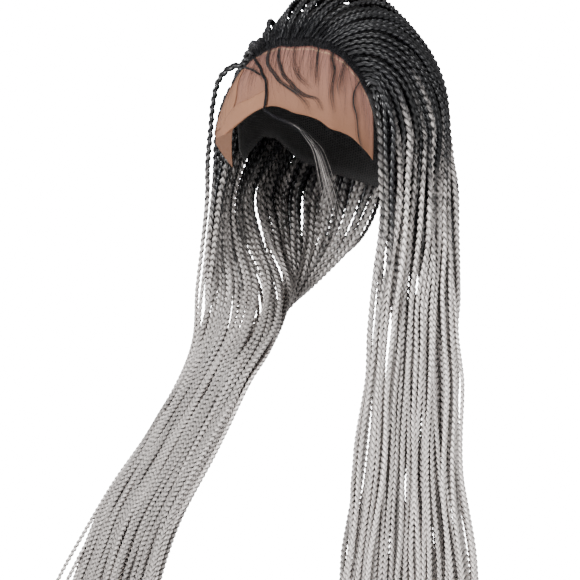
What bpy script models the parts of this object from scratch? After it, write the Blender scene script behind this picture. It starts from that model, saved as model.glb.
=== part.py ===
"""Braid wig: a lace-front cap with box braids brought forward over both shoulders.

Metres, +Z up. The wearer looks along -Y, and +X is the wearer's left.
The origin is the inside of the cap at its top, where the wig sits on the head.
"""
import math

import bmesh
import bpy
from mathutils import Vector

# Head that the cap fits, measured inside the cap
HEAD_WIDTH = 0.156
HEAD_LENGTH = 0.196
CROWN_HEIGHT = 0.105

# Walls of the cap and of the lace, and the gap where they meet
CAP_WALL = 0.0012
LACE_WALL = 0.0010
LACE_GAP = 0.0008

# Hair: its drop from the head's widest level to the longest tip, and the depth of a lock
HAIR_DROP = 0.505
LOCK_DEPTH = 0.0086
ROOT_DEPTH = 0.0038
TIP_DEPTH = 0.0060
TIP_STAGGER_SHARE = 0.022
LOCK_GAP = 0.0009
SEAT_GAP = 0.0011
ROOT_INSET = 0.0030
LOCKS_IN_ROW = 10

# Facets
CAP_ROWS = 8
LACE_ROWS = 6
CROWN_ROWS = (8, 11)     # front row, back row

# Outline of the cap's rim for one side, mirrored for the other.
# Columns: direction round the head in degrees from +X towards +Y, and the angle down from the top.
RIM = (
    (-90.0, 48.0),
    (-76.0, 47.5),
    (-62.0, 50.0),
    (-52.0, 55.0),
    (-44.0, 63.0),
    (-38.5, 73.0),
    (-34.5, 85.0),
    (-30.0, 99.0),
    (-22.0, 104.0),
    (-9.0, 100.0),
    (4.0, 94.0),
    (15.0, 95.0),
    (31.0, 106.0),
    (48.0, 112.0),
    (68.0, 117.0),
    (90.0, 121.5),
)

# The lace's cut edge and how far it stands off the forehead there.
# Columns: direction round the head in degrees, angle down from the top, lift as a share of HEAD_WIDTH.
LACE_EDGE = (
    (-36.0, 101.0, 0.004),
    (-39.0, 98.0, 0.003),
    (-43.0, 95.0, 0.010),
    (-48.0, 91.0, 0.003),
    (-54.0, 88.5, 0.003),
    (-60.0, 87.0, 0.012),
    (-66.0, 83.5, 0.003),
    (-73.0, 81.5, 0.003),
    (-80.0, 80.5, 0.012),
    (-87.0, 78.5, 0.003),
    (-95.0, 77.5, 0.003),
    (-103.0, 78.0, 0.015),
    (-111.0, 81.0, 0.030),
    (-119.0, 84.0, 0.055),
    (-127.0, 87.5, 0.085),
    (-135.0, 92.0, 0.115),
    (-142.0, 96.0, 0.140),
)

# Swept path over the crown. The front lock leaves the hairline at ROOT_START, the last one at the
# centre. All leave the head at its widest level, from LEAVE_START in front of the ear to the nape.
ROOT_START = -39.0
LEAVE_START = -32.5
SWEEP_SHARE = 0.82

# Sections of the hanging hair below the head's widest level, one row for each level.
# Columns: drop as a share of HAIR_DROP; then for the front row of locks and for the back row:
# first edge x, y, last edge x, y and bow as a share of the width between them.
# x is a share of half HEAD_WIDTH outward from the centre, y a share of half HEAD_LENGTH.
LEFT_SECTIONS = (
    (0.11, (0.90, -0.55, 1.19, 0.16, 0.12), (1.19, 0.25, 0.06, 1.00, 0.19)),
    (0.20, (0.90, -0.62, 1.32, 0.04, 0.08), (1.29, 0.15, 0.28, 0.86, 0.15)),
    (0.27, (0.90, -0.71, 1.42, -0.10, 0.05), (1.40, 0.01, 0.70, 0.52, 0.11)),
    (0.33, (0.92, -0.81, 1.53, -0.25, 0.05), (1.49, -0.14, 0.88, 0.02, 0.05)),
    (0.40, (0.92, -0.89, 1.68, -0.42, 0.04), (1.63, -0.31, 0.96, -0.45, 0.00)),
    (0.52, (0.92, -0.98, 1.78, -0.51, 0.03), (1.73, -0.40, 0.96, -0.84, -0.03)),
    (0.68, (0.77, -1.04, 2.00, -0.59, 0.03), (1.95, -0.48, 0.81, -0.91, -0.03)),
    (1.00, (0.62, -1.06, 2.15, -0.63, 0.03), (2.10, -0.52, 0.65, -0.93, -0.03)),
)
RIGHT_SECTIONS = (
    (0.11, (1.05, -0.63, 1.16, 0.14, 0.08), (1.16, 0.23, 0.06, 1.00, 0.19)),
    (0.20, (1.15, -0.62, 1.00, 0.08, 0.08), (1.03, 0.21, 0.28, 0.86, 0.15)),
    (0.27, (1.22, -0.60, 0.64, -0.08, 0.04), (0.72, 0.08, 0.67, 0.66, 0.15)),
    (0.33, (1.28, -0.59, 0.42, -0.46, -0.03), (0.54, -0.29, 1.00, 0.24, 0.05)),
    (0.40, (1.40, -0.61, 0.46, -0.89, -0.04), (0.54, -0.74, 1.33, -0.41, 0.04)),
    (0.52, (1.87, -0.69, 0.79, -1.03, -0.04), (0.85, -0.91, 1.81, -0.57, 0.04)),
    (0.68, (2.41, -0.95, 1.27, -1.20, -0.03), (1.31, -1.08, 2.36, -0.83, 0.03)),
    (1.00, (3.03, -1.24, 1.72, -1.43, -0.03), (1.74, -1.31, 2.97, -1.12, 0.03)),
)
# Extra rings halfway before these sections, counted from 0
HALFWAY_BEFORE = (0, 4, 7)

# Section of a lock: place across it from 0 to 1, and height as a share of half its depth
LOCK_SECTION = ((0.0, 0.0), (0.25, 1.0), (0.75, 1.0), (1.0, 0.0), (0.75, -1.0), (0.25, -1.0))


def smooth_at(table, place):
    """Rows read along their first column by a smooth curve through them."""
    last = len(table) - 2
    step = 0
    while step < last and place > table[step + 1][0]:
        step += 1
    start, end = table[step], table[step + 1]
    before, after = table[max(step - 1, 0)], table[min(step + 2, last + 1)]
    span = end[0] - start[0]
    share = (place - start[0]) / span
    found = []
    for a, b, c, d in zip(before[1:], start[1:], end[1:], after[1:]):
        slope_in = (c - a) / (end[0] - before[0]) * span
        slope_out = (d - b) / (after[0] - start[0]) * span
        found.append(
            b * (1 + 2 * share) * (1 - share) ** 2
            + slope_in * share * (1 - share) ** 2
            + c * share ** 2 * (3 - 2 * share)
            - slope_out * share ** 2 * (1 - share)
        )
    return found


def rim_angle(direction):
    """Angle down from the top to the cap's rim, in degrees, on either side of the head."""
    turned = (direction + 180.0) % 360.0 - 180.0
    if abs(turned) > 90.0:
        turned = math.copysign(180.0, turned) - turned
    for (near, low), (far, high) in zip(RIM, RIM[1:]):
        if turned <= far:
            return low + (high - low) * (turned - near) / (far - near)
    return RIM[-1][1]


def head_point(direction, angle, height):
    """Point a height above the head's surface, at a direction round it and an angle down."""
    round_it, down = math.radians(direction), math.radians(angle)
    unit = Vector((
        math.sin(down) * math.cos(round_it),
        math.sin(down) * math.sin(round_it),
        math.cos(down),
    ))
    half = Vector((HEAD_WIDTH / 2, HEAD_LENGTH / 2, CROWN_HEIGHT))
    surface = Vector(a * b for a, b in zip(unit, half))
    normal = Vector(a / b for a, b in zip(unit, half)).normalized()
    return surface + normal * height - Vector((0, 0, CROWN_HEIGHT))


def swept_place(sheet_place, share):
    """Direction and angle of a swept line over the crown, from its root to the widest level."""
    root_direction = ROOT_START + (-90.0 - ROOT_START) * sheet_place
    inset = math.degrees(ROOT_INSET / CROWN_HEIGHT)
    ends = []
    for direction, angle in (
        (root_direction, rim_angle(root_direction) - inset),
        (LEAVE_START + (90.0 - LEAVE_START) * sheet_place, 90.0),
    ):
        turn = math.radians(direction)
        ends.append(Vector((math.cos(turn), math.sin(turn))) * angle)
    root, leave = ends
    pull = (root + leave) / 2 * SWEEP_SHARE
    flat = root * (1 - share) ** 2 + pull * 2 * share * (1 - share) + leave * share ** 2
    return math.degrees(math.atan2(flat.y, flat.x)), flat.length


def crown_point(side, sheet_place, share):
    """Middle of the hair's depth on the crown."""
    direction, angle = swept_place(sheet_place, share)
    height = CAP_WALL + SEAT_GAP + lock_depth(share, 0.0) / 2
    point = head_point(direction, angle, height)
    return Vector((side * point.x, point.y, point.z))


def section_point(side, row, across, level):
    """Middle of the hair's depth on one section of the hanging hair."""
    first_x, first_y, last_x, last_y, bow = row
    first = Vector((first_x * HEAD_WIDTH / 2, first_y * HEAD_LENGTH / 2))
    last = Vector((last_x * HEAD_WIDTH / 2, last_y * HEAD_LENGTH / 2))
    chord = last - first
    outward = Vector((chord.y, -chord.x))
    flat = first + chord * across + outward * (bow * 4 * across * (1 - across))
    return Vector((side * flat.x, flat.y, level))


def lock_depth(crown_share, drop_share):
    """Depth of a lock, from its thin root to its full depth and its thinner tip."""
    if crown_share < 0.4:
        return ROOT_DEPTH + (LOCK_DEPTH - ROOT_DEPTH) * math.sin(crown_share / 0.4 * math.pi / 2)
    if drop_share > 0.7:
        return LOCK_DEPTH + (TIP_DEPTH - LOCK_DEPTH) * (drop_share - 0.7) / 0.3
    return LOCK_DEPTH


def hair_line(side, back, across, tip_share):
    """Points down one line of the hair from root to tip, with the depth at each."""
    sections = LEFT_SECTIONS if side > 0 else RIGHT_SECTIONS
    sheet_place = (across + back) / 2
    points = []
    crown_rows = CROWN_ROWS[back]
    for row in range(crown_rows + 1):
        share = row / crown_rows
        points.append((crown_point(side, sheet_place, share), lock_depth(share, 0.0)))
    keys = []
    for share in (1.0 - 1.0 / crown_rows, 1.0):
        point = crown_point(side, sheet_place, share)
        keys.append(((-CROWN_HEIGHT - point.z) / HAIR_DROP, point.x, point.y))
    for drop, front_row, back_row in sections:
        point = section_point(side, back_row if back else front_row, across, 0.0)
        keys.append((drop, point.x, point.y))
    drops = []
    for index, section in enumerate(sections):
        before = sections[index - 1][0] if index else 0.0
        if index in HALFWAY_BEFORE:
            drops.append((before + section[0]) / 2)
        drops.append(section[0])
    for drop in drops:
        reached = drop if drop < drops[-1] else tip_share
        x, y = smooth_at(keys, reached)
        level = -CROWN_HEIGHT - reached * HAIR_DROP
        points.append((Vector((x, y, level)), lock_depth(1.0, reached)))
    return points


def extruded_rows(rows, closed):
    """Sheet or tube made by extruding a first row of points once for each further row."""
    bm = bmesh.new()
    column = bm.verts.layers.int.new("column")
    verts = [bm.verts.new(point) for point in rows[0]]
    for index, vert in enumerate(verts):
        vert[column] = index
    pairs = list(zip(verts, verts[1:]))
    if closed:
        pairs.append((verts[-1], verts[0]))
    first = [bm.edges.new(pair) for pair in pairs]
    last = first
    for row in rows[1:]:
        made = bmesh.ops.extrude_edge_only(bm, edges=last)["geom"]
        for item in made:
            if isinstance(item, bmesh.types.BMVert):
                item.co = row[item[column]]
        last = [item for item in made if isinstance(item, bmesh.types.BMEdge)]
    return bm, first, last


def new_object(name, bm, colour, roughness):
    """Object with its own material, from a bmesh that is used up."""
    bmesh.ops.recalc_face_normals(bm, faces=bm.faces)
    mesh = bpy.data.meshes.new(name)
    bm.to_mesh(mesh)
    bm.free()
    material = bpy.data.materials.new(name)
    material.use_nodes = True
    shader = material.node_tree.nodes["Principled BSDF"]
    shader.inputs["Base Color"].default_value = colour
    shader.inputs["Roughness"].default_value = roughness
    shader.inputs["Metallic"].default_value = 0.0
    mesh.materials.append(material)
    mesh.shade_smooth()
    mesh.set_sharp_from_angle(angle=math.radians(50))
    thing = bpy.data.objects.new(name, mesh)
    bpy.context.collection.objects.link(thing)
    return thing


def add_wall(thing, wall):
    """Give a sheet its wall, on its outer side."""
    solidify = thing.modifiers.new("Wall", "SOLIDIFY")
    solidify.thickness = wall
    solidify.offset = 1.0
    solidify.use_even_offset = True


def make_cap():
    """Dome of the cap, from a small ring at the crown down to the rim."""
    directions = [row[0] for row in RIM] + [180.0 - row[0] for row in RIM[-2:0:-1]]
    rows = []
    for row in range(1, CAP_ROWS + 1):
        share = row / CAP_ROWS
        rows.append([head_point(turn, rim_angle(turn) * share, 0.0) for turn in directions])
    bm, crown_edges, _ = extruded_rows(rows, closed=True)
    top = bm.verts.new(head_point(0.0, 0.0, 0.0))
    for edge in crown_edges:
        bm.faces.new((edge.verts[0], edge.verts[1], top))
    cap = new_object("cap", bm, (0.02, 0.02, 0.022, 1.0), 0.8)
    add_wall(cap, CAP_WALL)


def make_lace_front():
    """Lace from the hairline down the forehead, lifting off at its free corner."""
    gap = math.degrees(LACE_GAP / CROWN_HEIGHT)
    rows = []
    for row in range(LACE_ROWS + 1):
        share = row / LACE_ROWS
        points = []
        for direction, edge, lift in LACE_EDGE:
            start = rim_angle(direction) + gap
            height = lift * HEAD_WIDTH * share ** 1.5
            points.append(head_point(direction, start + (edge - start) * share, height))
        rows.append(points)
    bm, _, _ = extruded_rows(rows, closed=False)
    lace = new_object("lace_front", bm, (0.40, 0.24, 0.17, 1.0), 0.9)
    add_wall(lace, LACE_WALL)


def make_lock(side, back, number):
    """One lock of braids from its root at the hairline to its tip."""
    tip_share = 1.0 - TIP_STAGGER_SHARE * ((number * 3 + back * 2) % 5) / 4
    edges = [number / LOCKS_IN_ROW, (number + 1) / LOCKS_IN_ROW]
    first, last = (hair_line(side, back, edge, tip_share) for edge in edges)
    middle = hair_line(side, back, sum(edges) / 2, tip_share)
    rows = []
    for ring in range(len(middle)):
        above, below = max(ring - 1, 0), min(ring + 1, len(middle) - 1)
        across = last[ring][0] - first[ring][0]
        down = middle[below][0] - middle[above][0]
        out = down.cross(across).normalized() * side
        trim = LOCK_GAP / 2 / across.length
        half_depth = middle[ring][1] / 2
        row = []
        for place, height in LOCK_SECTION:
            share = min(max(place, trim), 1.0 - trim)
            row.append(first[ring][0] + across * share + out * (height * half_depth))
        rows.append(row)
    bm, root_edges, tip_edges = extruded_rows(rows, closed=True)
    bmesh.ops.edgeloop_fill(bm, edges=root_edges)
    bmesh.ops.edgeloop_fill(bm, edges=tip_edges)
    name = "{}_{}_lock_{:02d}".format(
        "left" if side > 0 else "right", "back" if back else "front", number + 1)
    new_object(name, bm, (0.32, 0.30, 0.29, 1.0), 0.6)


def main():
    for thing in list(bpy.data.objects):
        bpy.data.objects.remove(thing, do_unlink=True)
    make_cap()
    make_lace_front()
    for side in (1, -1):
        for back in (0, 1):
            for number in range(LOCKS_IN_ROW):
                make_lock(side, back, number)


main()
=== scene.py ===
"""Braid wig: the plaits, lace front, root hair and baby hair, dressed on the solids of the wig.

Metres, +Z up. The wearer looks along -Y and +X is the wearer's left. The origin is the inside of
the cap at its top. The hair's route repeats the named sizes and sections of the solids.
"""
import math
from random import Random

import bmesh
import bpy
import numpy as np
from bpy.props import FloatProperty, FloatVectorProperty, IntProperty, PointerProperty
from bpy.types import Operator, Panel, PropertyGroup
from mathutils import Matrix, Vector


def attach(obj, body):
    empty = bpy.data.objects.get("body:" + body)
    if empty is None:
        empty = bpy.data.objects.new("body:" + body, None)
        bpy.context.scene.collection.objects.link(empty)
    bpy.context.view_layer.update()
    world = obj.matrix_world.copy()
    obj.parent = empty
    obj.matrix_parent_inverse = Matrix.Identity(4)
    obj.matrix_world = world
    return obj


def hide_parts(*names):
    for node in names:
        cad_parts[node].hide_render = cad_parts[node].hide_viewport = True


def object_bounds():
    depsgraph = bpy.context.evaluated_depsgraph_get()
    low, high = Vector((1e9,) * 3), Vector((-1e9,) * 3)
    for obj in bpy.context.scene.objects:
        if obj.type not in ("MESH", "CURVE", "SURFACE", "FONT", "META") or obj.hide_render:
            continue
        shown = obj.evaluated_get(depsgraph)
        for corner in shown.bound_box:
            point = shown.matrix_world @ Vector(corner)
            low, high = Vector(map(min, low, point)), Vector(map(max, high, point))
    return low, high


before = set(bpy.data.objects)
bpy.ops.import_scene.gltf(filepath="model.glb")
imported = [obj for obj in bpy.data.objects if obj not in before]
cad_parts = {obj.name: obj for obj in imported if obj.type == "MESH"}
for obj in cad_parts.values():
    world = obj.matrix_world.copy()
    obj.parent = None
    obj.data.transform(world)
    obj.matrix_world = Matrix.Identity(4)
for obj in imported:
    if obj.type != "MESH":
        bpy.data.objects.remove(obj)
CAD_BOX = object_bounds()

bl_info = {
    "name": "Braid Wig",
    "version": (1, 0, 0),
    "blender": (4, 5, 0),
    "location": "3D View > Sidebar > Braid Wig",
    "description": "Plaits, lace front, root hair and baby hair of a braid wig",
    "category": "Object",
}

BODY = "root"
HAIR_SLOT, LACE_SLOT, CAP_SLOT = "braided_hair", "lace", "cap_mesh"

# Head, walls and hair of the solids
HEAD_WIDTH = 0.156
HEAD_LENGTH = 0.196
CROWN_HEIGHT = 0.105
CAP_WALL = 0.0012
LACE_GAP = 0.0008
HAIR_DROP = 0.505
LOCK_DEPTH = 0.0086
ROOT_DEPTH = 0.0038
TIP_DEPTH = 0.0060
SEAT_GAP = 0.0011
ROOT_INSET = 0.0030
LOCKS_IN_ROW = 10
CROWN_ROWS = (8, 11)
ROOT_START = -39.0
LEAVE_START = -32.5
SWEEP = 0.82

# Rim of the cap: direction round the head in degrees from +X, angle down from the top
RIM = np.array((
    (-90.0, 48.0), (-76.0, 47.5), (-62.0, 50.0), (-52.0, 55.0), (-44.0, 63.0), (-38.5, 73.0),
    (-34.5, 85.0), (-30.0, 99.0), (-22.0, 104.0), (-9.0, 100.0), (4.0, 94.0), (15.0, 95.0),
    (31.0, 106.0), (48.0, 112.0), (68.0, 117.0), (90.0, 121.5),
))

# Cut edge of the lace: direction, angle down from the top, lift as a share of HEAD_WIDTH and the
# power with which that lift grows from the hairline
LACE_EDGE = np.array((
    (-142.0, 91.5, 0.122, 0.42), (-135.0, 93.0, 0.110, 0.42), (-127.0, 91.0, 0.090, 0.44),
    (-119.0, 87.4, 0.066, 0.66), (-111.0, 82.6, 0.036, 1.00), (-103.0, 79.0, 0.017, 1.35),
    (-95.0, 77.5, 0.003, 1.50), (-87.0, 78.5, 0.003, 1.50), (-80.0, 80.5, 0.012, 1.50),
    (-73.0, 81.5, 0.003, 1.50), (-66.0, 83.5, 0.003, 1.50), (-60.0, 87.0, 0.012, 1.50),
    (-54.0, 88.5, 0.003, 1.50), (-48.0, 91.0, 0.003, 1.50), (-43.0, 95.0, 0.010, 1.50),
    (-39.0, 98.0, 0.003, 1.50), (-36.0, 101.0, 0.004, 1.50),
))
# Lace folded on itself at its free corner, between two lines of direction and angle
LACE_FOLD = (
    ((-100.5, 70.2), (-104.5, 71.8), (-111.0, 74.7), (-117.5, 77.1), (-123.0, 80.2),
     (-128.5, 85.6), (-134.0, 90.8)),
    ((-100.5, 78.3), (-104.5, 79.7), (-111.0, 82.6), (-117.5, 86.5), (-123.0, 89.3),
     (-128.5, 91.6), (-134.5, 93.0)),
)
LACE_BORDER = (
    ((-126.8, 62.5), (-125.7, 67.9), (-122.9, 73.0), (-121.5, 77.0), (-123.5, 82.0),
     (-130.0, 88.0)),
    ((-134.5, 63.5), (-138.0, 68.5), (-141.0, 74.5), (-141.5, 79.0), (-141.5, 84.0),
     (-141.0, 90.0)),
)
# Tab of lace that hangs under the corner: direction, angle and height above the head in metres
LACE_TAB = (
    ((-132.0, 92.3, 0.0198), (-128.5, 91.2, 0.0165), (-125.0, 89.8, 0.0135),
     (-121.0, 87.8, 0.0108)),
    ((-132.0, 94.0, 0.0202), (-128.5, 97.0, 0.0180), (-125.0, 100.0, 0.0158),
     (-121.0, 103.5, 0.0135)),
)

# Sections of the hanging hair: drop, then front row and back row, each as first edge x, y,
# last edge x, y and bow. x in half head widths, y in half head lengths, bow as a share of width.
LEFT_SECTIONS = (
    (0.11, (0.90, -0.55, 1.19, 0.16, 0.12), (1.19, 0.25, 0.06, 1.00, 0.19)),
    (0.20, (0.90, -0.62, 1.32, 0.04, 0.08), (1.29, 0.15, 0.28, 0.86, 0.15)),
    (0.27, (0.90, -0.71, 1.42, -0.10, 0.05), (1.40, 0.01, 0.70, 0.52, 0.11)),
    (0.33, (0.92, -0.81, 1.53, -0.25, 0.05), (1.49, -0.14, 0.88, 0.02, 0.05)),
    (0.40, (0.92, -0.89, 1.68, -0.42, 0.04), (1.63, -0.31, 0.96, -0.45, 0.00)),
    (0.52, (0.92, -0.98, 1.78, -0.51, 0.03), (1.73, -0.40, 0.96, -0.84, -0.03)),
    (0.68, (0.77, -1.04, 2.00, -0.59, 0.03), (1.95, -0.48, 0.81, -0.91, -0.03)),
    (1.00, (0.62, -1.06, 2.15, -0.63, 0.03), (2.10, -0.52, 0.65, -0.93, -0.03)),
)
RIGHT_SECTIONS = (
    (0.11, (1.05, -0.63, 1.16, 0.14, 0.08), (1.16, 0.23, 0.06, 1.00, 0.19)),
    (0.20, (1.15, -0.62, 1.00, 0.08, 0.08), (1.03, 0.21, 0.28, 0.86, 0.15)),
    (0.27, (1.22, -0.60, 0.64, -0.08, 0.04), (0.72, 0.08, 0.67, 0.66, 0.15)),
    (0.33, (1.28, -0.59, 0.42, -0.46, -0.03), (0.54, -0.29, 1.00, 0.24, 0.05)),
    (0.40, (1.40, -0.61, 0.46, -0.89, -0.04), (0.54, -0.74, 1.33, -0.41, 0.04)),
    (0.52, (1.87, -0.69, 0.79, -1.03, -0.04), (0.85, -0.91, 1.81, -0.57, 0.04)),
    (0.68, (2.41, -0.95, 1.27, -1.20, -0.03), (1.31, -1.08, 2.36, -0.83, 0.03)),
    (1.00, (3.03, -1.24, 1.72, -1.43, -0.03), (1.74, -1.31, 2.97, -1.12, 0.03)),
)

# Direction from +X at which the hairline's fine hair starts on either side
HAIRLINE_START = -36.0

# Steps in which a sheet of hair is worked out: across it, over the crown, and down the drop
SHEET_ACROSS = 40
SHEET_CROWN = 48
SHEET_DROP = 96

# Usual peak of three waves added together
WAVE_PEAK = 2.2

# Ring of a plait: across and through it as shares of half its width and half its depth
RING_SIDES = 6
RIGHT_LOBE = np.array((
    (1.00, 0.0), (0.56, 1.00), (-0.34, 0.52), (-0.66, 0.0), (-0.34, -0.52), (0.56, -1.00),
))
LEFT_LOBE = RIGHT_LOBE[[3, 2, 1, 0, 5, 4]] * np.array((-1.0, 1.0))
PLAIN_RING = np.array((
    (0.90, 0.0), (0.45, 0.88), (-0.45, 0.88), (-0.90, 0.0), (-0.45, -0.88), (0.45, -0.88),
))
# How far each corner of a ring leans down the plait, as a share of the lean
LEAN = np.array((-0.8, 1.0, 1.0, -0.8, 1.0, 1.0))


class PlaitSettings(PropertyGroup):
    """Sizes and colours of the plaits"""

    width: FloatProperty(
        name="Width", description="Width of one plait", default=0.0039, min=0.002, max=0.01,
        unit="LENGTH")
    crown_width: FloatProperty(
        name="Crown width", description="Width of one plait over the crown", default=0.0060,
        min=0.002, max=0.012, unit="LENGTH")
    depth: FloatProperty(
        name="Depth", description="Thickness of one plait", default=0.0035, min=0.001, max=0.01,
        unit="LENGTH")
    root_pitch: FloatProperty(
        name="Root pitch", description="Distance between two lobes on one side near the roots",
        default=0.0068, min=0.002, max=0.02, unit="LENGTH")
    pitch: FloatProperty(
        name="Pitch", description="Distance between two lobes on one side lower down",
        default=0.0047, min=0.002, max=0.02, unit="LENGTH")
    wander: FloatProperty(
        name="Wander", description="How far a plait strays sideways from its place",
        default=0.0026, min=0.0, max=0.01, unit="LENGTH")
    fade_level: FloatProperty(
        name="Fade level", description="Drop below the crown at which black has half turned grey",
        default=0.170, min=0.0, max=0.6, unit="LENGTH")
    fade_length: FloatProperty(
        name="Fade length", description="Length over which black turns grey", default=0.13,
        min=0.01, max=0.5, unit="LENGTH")
    fade_scatter: FloatProperty(
        name="Fade scatter", description="How much the fade level differs between plaits",
        default=0.026, min=0.0, max=0.2, unit="LENGTH")
    root_colour: FloatVectorProperty(
        name="Root colour", description="Colour of the hair at its roots", subtype="COLOR",
        size=4, min=0.0, max=1.0, default=(0.0065, 0.0065, 0.0080, 1.0))
    tip_colour: FloatVectorProperty(
        name="Tip colour", description="Colour of the hair at its tips", subtype="COLOR",
        size=4, min=0.0, max=1.0, default=(0.70, 0.645, 0.615, 1.0))


class LaceSettings(PropertyGroup):
    """Colours and net of the lace front"""

    hairline_colour: FloatVectorProperty(
        name="Hairline colour", description="Colour of the lace beside the hairline",
        subtype="COLOR", size=4, min=0.0, max=1.0, default=(0.212, 0.101, 0.079, 1.0))
    edge_colour: FloatVectorProperty(
        name="Edge colour", description="Colour of the lace at its cut edge", subtype="COLOR",
        size=4, min=0.0, max=1.0, default=(0.166, 0.077, 0.043, 1.0))
    cover: FloatProperty(
        name="Cover", description="Share of the light that the net stops", default=0.90,
        min=0.0, max=1.0, subtype="FACTOR")
    mesh_size: FloatProperty(
        name="Mesh size", description="Width of one mesh of the net", default=0.0009,
        min=0.0003, max=0.005, unit="LENGTH")


class FineHairSettings(PropertyGroup):
    """Counts and sizes of the unplaited hair"""

    thickness: FloatProperty(
        name="Thickness", description="Thickness of one strand", default=0.00042, min=0.0001,
        max=0.002, unit="LENGTH")
    root_count: IntProperty(
        name="Root strands", description="Strands that rise from the hairline into the plaits",
        default=2200, min=0, max=6000)
    root_length: FloatProperty(
        name="Root length", description="Length of the straight hair before the plaits",
        default=0.016, min=0.002, max=0.05, unit="LENGTH")
    baby_count: IntProperty(
        name="Baby strands", description="Single strands combed down over the lace",
        default=210, min=0, max=2000)


class StageSettings(PropertyGroup):
    """Camera, floor and lights"""

    turn: FloatProperty(
        name="Turn", description="Direction of the camera round the wig", default=math.radians(30),
        subtype="ANGLE", unit="ROTATION")
    rise: FloatProperty(
        name="Rise", description="Height of the camera as an angle", default=math.radians(8),
        subtype="ANGLE", unit="ROTATION")
    distance: FloatProperty(
        name="Distance", description="Distance from the camera to its target", default=1.4,
        min=0.1, unit="LENGTH")
    lens: FloatProperty(
        name="Lens", description="Focal length in millimetres", default=101.4, min=10.0)
    backdrop: FloatProperty(
        name="Backdrop", description="Brightness of the white backdrop", default=22.0, min=0.0)
    soft_light: FloatProperty(
        name="Soft light", description="Strength of the light from all round", default=0.35,
        min=0.0)
    floor_gap: FloatProperty(
        name="Floor gap", description="Gap between the tips and the floor", default=0.035,
        min=0.0, unit="LENGTH")


def read_smoothly(keys, places):
    """Rows read along their first column by a smooth curve through them."""
    last = len(keys) - 1
    steps = np.clip(np.searchsorted(keys[:, 0], places) - 1, 0, last - 1)
    before, start = keys[np.maximum(steps - 1, 0)], keys[steps]
    end, after = keys[steps + 1], keys[np.minimum(steps + 2, last)]
    span = end[:, :1] - start[:, :1]
    share = (places[:, None] - start[:, :1]) / span
    slope_in = (end - before)[:, 1:] / (end - before)[:, :1] * span
    slope_out = (after - start)[:, 1:] / (after - start)[:, :1] * span
    return (
        start[:, 1:] * (1 + 2 * share) * (1 - share) ** 2
        + slope_in * share * (1 - share) ** 2
        + end[:, 1:] * share ** 2 * (3 - 2 * share)
        - slope_out * share ** 2 * (1 - share)
    )


def smooth_route(points, count):
    """A smooth curve through a few points, evenly spaced."""
    points = np.asarray(points, float)
    lengths = along(points)
    keys = np.column_stack((lengths, points))
    return read_smoothly(keys, np.linspace(0, lengths[-1], count))


def ramp(values, start, span):
    """0 up to a start and 1 from a span beyond it."""
    return np.clip((values - start) / span, 0.0, 1.0)


def unit(vectors):
    return vectors / np.maximum(np.linalg.norm(vectors, axis=-1, keepdims=True), 1e-9)


def rim_angle(direction):
    """Angle down from the top to the rim of the cap, on either side of the head."""
    turned = (np.asarray(direction, float) + 180.0) % 360.0 - 180.0
    folded = np.where(np.abs(turned) > 90.0, np.copysign(180.0, turned) - turned, turned)
    return np.interp(folded, RIM[:, 0], RIM[:, 1])


def head_points(direction, angle, height):
    """Points a height above the head's surface."""
    round_it, down, height = np.broadcast_arrays(
        np.radians(direction), np.radians(angle), np.asarray(height, float))
    sphere = np.stack((
        np.sin(down) * np.cos(round_it), np.sin(down) * np.sin(round_it), np.cos(down)), -1)
    half = np.array((HEAD_WIDTH / 2, HEAD_LENGTH / 2, CROWN_HEIGHT))
    surface = sphere * half
    return surface + unit(sphere / half) * height[..., None] - np.array((0, 0, CROWN_HEIGHT))


def lock_depth(crown_share, drop_share):
    """Depth of a lock from its thin root to its full depth and its thinner tip."""
    rising = ROOT_DEPTH + (LOCK_DEPTH - ROOT_DEPTH) * np.sin(
        np.minimum(crown_share / 0.4, 1.0) * math.pi / 2)
    return rising + (TIP_DEPTH - LOCK_DEPTH) * np.maximum(drop_share - 0.7, 0.0) / 0.3


def swept_places(sheet_place, share):
    """Directions and angles of a swept line over the crown, from its root to the widest level."""
    root_direction = ROOT_START + (-90.0 - ROOT_START) * sheet_place
    leave_direction = LEAVE_START + (90.0 - LEAVE_START) * sheet_place
    inset = math.degrees(ROOT_INSET / CROWN_HEIGHT)
    ends = []
    for direction, angle in (
        (root_direction, float(rim_angle(root_direction)) - inset),
        (leave_direction, 90.0),
    ):
        turn = math.radians(direction)
        ends.append(np.array((math.cos(turn), math.sin(turn))) * angle)
    pull = (ends[0] + ends[1]) / 2 * SWEEP
    share = share[:, None]
    flat = ends[0] * (1 - share) ** 2 + pull * 2 * share * (1 - share) + ends[1] * share ** 2
    return np.degrees(np.arctan2(flat[:, 1], flat[:, 0])), np.linalg.norm(flat, axis=1)


def crown_line(side, sheet_place, share):
    """Middle of the hair's depth along one line over the crown."""
    direction, angle = swept_places(sheet_place, share)
    height = CAP_WALL + SEAT_GAP + lock_depth(share, 0.0) / 2
    return head_points(direction, angle, height) * np.array((side, 1, 1))


def section_point(side, row, across):
    """Middle of the hair's depth on one section of the hanging hair."""
    half = np.array((HEAD_WIDTH / 2, HEAD_LENGTH / 2))
    first, last = np.array(row[0:2]) * half, np.array(row[2:4]) * half
    chord = last - first
    outward = np.array((chord[1], -chord[0]))
    flat = first + chord * across + outward * (row[4] * 4 * across * (1 - across))
    return flat * np.array((side, 1))


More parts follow.
